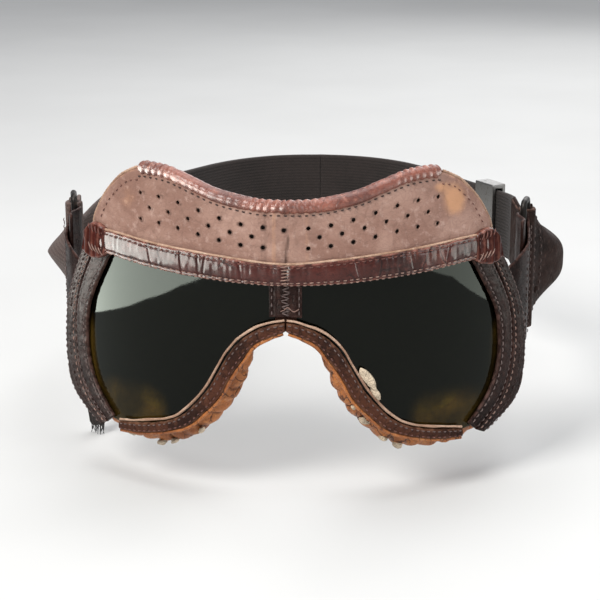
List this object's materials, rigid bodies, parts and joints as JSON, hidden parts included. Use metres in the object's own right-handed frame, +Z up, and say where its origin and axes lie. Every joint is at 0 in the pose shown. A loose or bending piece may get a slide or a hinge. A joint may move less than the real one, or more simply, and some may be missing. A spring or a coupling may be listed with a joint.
{
  "type": "motorcycle goggles",
  "caption": "Folding leather motorcycle goggles with tinted lenses, a perforated brow band, face cushions and an adjustable strap ring.",
  "frame": {"origin": "middle of the bounding box, level with the lowest point of the hanging strap tail", "axes": "+Z up as worn, the lenses face -Y, +X towards the wearer's left"},
  "size_m": [0.1922, 0.221, 0.1113],
  "materials": {
    "brow_leather": "worn satin, perforated",
    "lining_leather": "pale worn inside face",
    "binding_leather": "worn satin",
    "oxblood_leather": "cracked gloss",
    "dark_leather": "worn satin",
    "trim_leather": "worn satin",
    "piping_cord": "matte",
    "tinted_lens": "dark green tint, glossy",
    "cushion_leather": "cracked satin",
    "backing_cloth": "matte",
    "strap_webbing": "ribbed weave",
    "strap_elastic": "ribbed weave",
    "wire_steel": "dull"
  },
  "bodies": {
    "left_half": {"brow_panel_l": "brow_leather", "brow_lining_l": "lining_leather", "top_binding_l": "binding_leather", "brow_trim_l": "oxblood_leather", "lens_l": "tinted_lens", "lens_frame_l": "backing_cloth", "lens_binding_l": "dark_leather", "side_panel_l": "dark_leather", "lower_trim_l": "trim_leather", "lens_piping_l": "piping_cord", "cheek_cushion_l": "cushion_leather", "brow_cushion_l": "cushion_leather", "strap_tab_l": "dark_leather", "strap_loop_l": "wire_steel", "bridge_strip": "oxblood_leather"},
    "right_half": {"brow_panel_r": "brow_leather", "brow_lining_r": "lining_leather", "top_binding_r": "binding_leather", "brow_trim_r": "oxblood_leather", "lens_r": "tinted_lens", "lens_frame_r": "backing_cloth", "lens_binding_r": "dark_leather", "side_panel_r": "dark_leather", "lower_trim_r": "trim_leather", "lens_piping_r": "piping_cord", "cheek_cushion_r": "cushion_leather", "brow_cushion_r": "cushion_leather", "strap_tab_r": "dark_leather", "strap_loop_r": "wire_steel"},
    "strap_side_left": {"strap_side_l": "strap_webbing"},
    "strap_back_left": {"strap_back_l": "strap_elastic"},
    "strap_side_right": {"strap_side_r": "strap_webbing"},
    "strap_back_right": {"strap_back_r": "strap_elastic"},
    "slide": {"strap_slide": "wire_steel"},
    "tail": {"strap_tail": "strap_elastic"}
  },
  "joints": [
    {"name": "bridge_fold", "type": "hinge", "parent": "left_half", "child": "right_half", "pos_m": [0, -0.1046, 0.0678], "axis": [0, 0, 1], "range_deg": [0, 100]},
    {"name": "strap_side_left_swing", "type": "hinge", "parent": "left_half", "child": "strap_side_left", "pos_m": [-0.08, -0.0426, 0.0648], "axis": [0, 0, 1], "range_deg": [0, 50]},
    {"name": "strap_back_left_flex", "type": "hinge", "parent": "strap_side_left", "child": "strap_back_left", "pos_m": [-0.0811, 0.0274, 0.0608], "axis": [0, 0, 1], "range_deg": [0, 42.6]},
    {"name": "strap_side_right_swing", "type": "hinge", "parent": "right_half", "child": "strap_side_right", "pos_m": [0.08, -0.0426, 0.0648], "axis": [0, 0, 1], "range_deg": [-50, 0]},
    {"name": "strap_back_right_flex", "type": "hinge", "parent": "strap_side_right", "child": "strap_back_right", "pos_m": [0.0811, 0.0274, 0.0608], "axis": [0, 0, 1], "range_deg": [-42.6, 0]},
    {"name": "slide_travel", "type": "slide", "parent": "strap_back_right", "child": "slide", "axis": [-0.5503, 0.835, 0], "range_m": [0, 0.034]},
    {"name": "tail_swing", "type": "hinge", "parent": "left_half", "child": "tail", "pos_m": [-0.0791, -0.04685, 0.0398], "axis": [-0.2072, 0.9783, 0], "range_deg": [-8, 60]}
  ],
  "couplings": [
    {"joint": "strap_side_left_swing", "follows": "bridge_fold", "ratio": 0.5},
    {"joint": "strap_back_left_flex", "follows": "bridge_fold", "ratio": 0.426},
    {"joint": "strap_side_right_swing", "follows": "bridge_fold", "ratio": -0.5},
    {"joint": "strap_back_right_flex", "follows": "bridge_fold", "ratio": -0.426}
  ]
}
